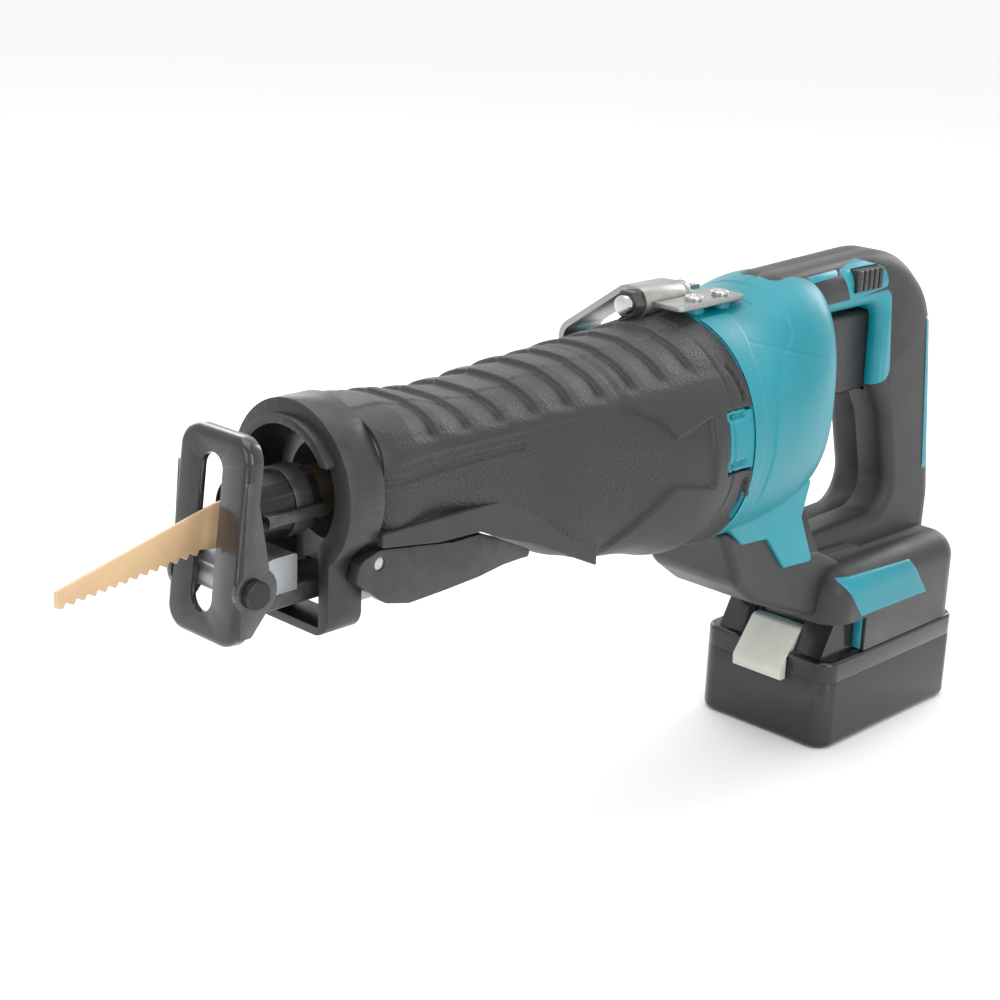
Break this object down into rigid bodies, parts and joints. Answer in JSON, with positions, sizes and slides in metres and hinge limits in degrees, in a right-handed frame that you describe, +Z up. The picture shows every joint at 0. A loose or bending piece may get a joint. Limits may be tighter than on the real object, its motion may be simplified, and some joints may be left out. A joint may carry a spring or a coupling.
{
  "type": "reciprocating saw",
  "caption": "Cordless reciprocating saw: long boot-covered gear case, tilting shoe, chucked blade, in-line motor, D-handle and slide-on battery base.",
  "frame": {"origin": "middle of the battery's flat base, the face the tool stands on", "axes": "-X towards the blade along the plunger, +X towards the handle, +Y to the tool's right, +Z up"},
  "size_m": [0.5073, 0.1009, 0.2308],
  "materials": {
    "shoe_steel": "gloss black coated steel",
    "black_oxide": "black oxide steel",
    "cast_alu": "die cast, fine blast",
    "hard_chrome": "ground and polished",
    "steel": "machined",
    "blade_gold": "pale gold lacquered steel",
    "bronze": "sintered bronze",
    "black_rubber": "matte with leather grain",
    "black_nylon": "fine spark texture",
    "teal_nylon": "satin, fine spark texture",
    "soft_grip": "matte elastomer",
    "battery_black": "semi-gloss",
    "cream_plastic": "satin",
    "gunmetal": "satin grey coated steel",
    "zinc": "bright zinc",
    "copper_core": "stacked sheet and windings",
    "cell_wrap": "heat-shrink sleeve",
    "board_green": "potted circuit board",
    "brass_contact": "plain"
  },
  "bodies": {
    "frame": {"gear_case": "cast_alu", "gear_case_cover": "cast_alu", "gear_case_screws": "zinc", "plunger_bush": "bronze", "rod_seal": "black_rubber", "crank_bearing": "steel", "stator": "copper_core", "front_bearing": "steel", "rear_bearing": "steel", "rubber_boot": "black_rubber", "front_guard": "black_nylon", "housing_left": "teal_nylon", "housing_right": "teal_nylon", "overmould_left": "soft_grip", "overmould_right": "soft_grip", "trigger_surround_left": "teal_nylon", "trigger_surround_right": "teal_nylon", "lock_off_bezels": "teal_nylon", "handle_stripes": "teal_nylon", "housing_screws": "zinc", "trigger_spring": "steel", "switch_module": "black_nylon", "controller_box": "board_green", "terminal_block": "brass_contact", "hook_bracket": "gunmetal", "hook_bolt": "zinc", "hook_nut": "black_oxide", "hook_screws": "zinc", "lever_pin": "steel"},
    "shoe_stem": {"shoe_stem": "black_oxide", "shoe_bracket": "cast_alu", "stem_screw": "black_oxide", "shoe_pivot_pin": "black_oxide"},
    "shoe": {"shoe_plate": "shoe_steel"},
    "shoe_lever": {"shoe_lever": "black_nylon"},
    "plunger": {"plunger_rod": "hard_chrome", "plunger_yoke": "steel"},
    "blade_clamp": {"blade_clamp_sleeve": "black_oxide", "clamp_cam_collar": "bronze"},
    "blade": {"saw_blade": "blade_gold"},
    "crank": {"crank_gear": "steel", "crank_pin": "hard_chrome"},
    "rotor": {"motor_pinion": "steel", "motor_shaft": "steel", "rotor_core": "steel", "cooling_fan": "black_nylon"},
    "trigger": {"trigger": "black_nylon"},
    "lock_off": {"lock_off_button": "black_nylon"},
    "hook": {"hook_arm": "gunmetal"},
    "battery": {"battery_lower_case": "battery_black", "battery_upper_case": "battery_black", "battery_cells": "cell_wrap", "battery_terminals": "brass_contact", "button_spring": "steel"},
    "battery_button": {"battery_button": "cream_plastic"}
  },
  "joints": [
    {"name": "plunger_stroke", "type": "slide", "parent": "frame", "child": "plunger", "axis": [1, 0, 0], "range_m": [0, 0.032]},
    {"name": "clamp_twist", "type": "hinge", "parent": "plunger", "child": "blade_clamp", "pos_m": [-0.354, 0, 0.1796], "axis": [-1, 0, 0], "range_deg": [0, 60], "stiffness_Nm_per_rad": 0.25, "springref_deg": -20.05},
    {"name": "blade_release", "type": "slide", "parent": "plunger", "child": "blade", "axis": [-1, 0, 0], "range_m": [0, 0.045]},
    {"name": "crank_spin", "type": "hinge", "parent": "frame", "child": "crank", "pos_m": [-0.21, 0, 0.15], "axis": [0, 0, 1], "continuous": true},
    {"name": "rotor_spin", "type": "hinge", "parent": "frame", "child": "rotor", "pos_m": [-0.114, 0, 0.165], "axis": [1, 0, 0], "continuous": true},
    {"name": "shoe_slide", "type": "slide", "parent": "frame", "child": "shoe_stem", "axis": [-1, 0, 0], "range_m": [0, 0.03]},
    {"name": "shoe_tilt", "type": "hinge", "parent": "shoe_stem", "child": "shoe", "pos_m": [-0.3847, 0, 0.1565], "axis": [0, -1, 0], "range_deg": [-6, 30]},
    {"name": "shoe_lever_turn", "type": "hinge", "parent": "frame", "child": "shoe_lever", "pos_m": [-0.3329, 0, 0.1575], "axis": [0, 1, 0], "range_deg": [0, 32], "stiffness_Nm_per_rad": 0.2, "springref_deg": -28.65},
    {"name": "trigger_pull", "type": "slide", "parent": "frame", "child": "trigger", "axis": [1, 0, 0], "range_m": [0, 0.008], "stiffness_N_per_m": 900, "springref_m": -0.004, "deforming": ["trigger_spring"]},
    {"name": "lock_off_push", "type": "slide", "parent": "frame", "child": "lock_off", "axis": [0, 1, 0], "range_m": [-0.004, 0.004], "stiffness_N_per_m": 700},
    {"name": "hook_swing", "type": "hinge", "parent": "frame", "child": "hook", "pos_m": [-0.143, 0.009, 0.223], "axis": [1, 0, 0], "range_deg": [0, 100]},
    {"name": "battery_slide", "type": "slide", "parent": "frame", "child": "battery", "axis": [-1, 0, 0], "range_m": [0, 0.096]},
    {"name": "battery_button_press", "type": "slide", "parent": "battery", "child": "battery_button", "axis": [0, 0, -1], "range_m": [0, 0.004], "stiffness_N_per_m": 800, "springref_m": -0.003, "deforming": ["button_spring"]}
  ],
  "couplings": [
    {"joint": "rotor_spin", "follows": "crank_spin", "ratio": 5}
  ]
}
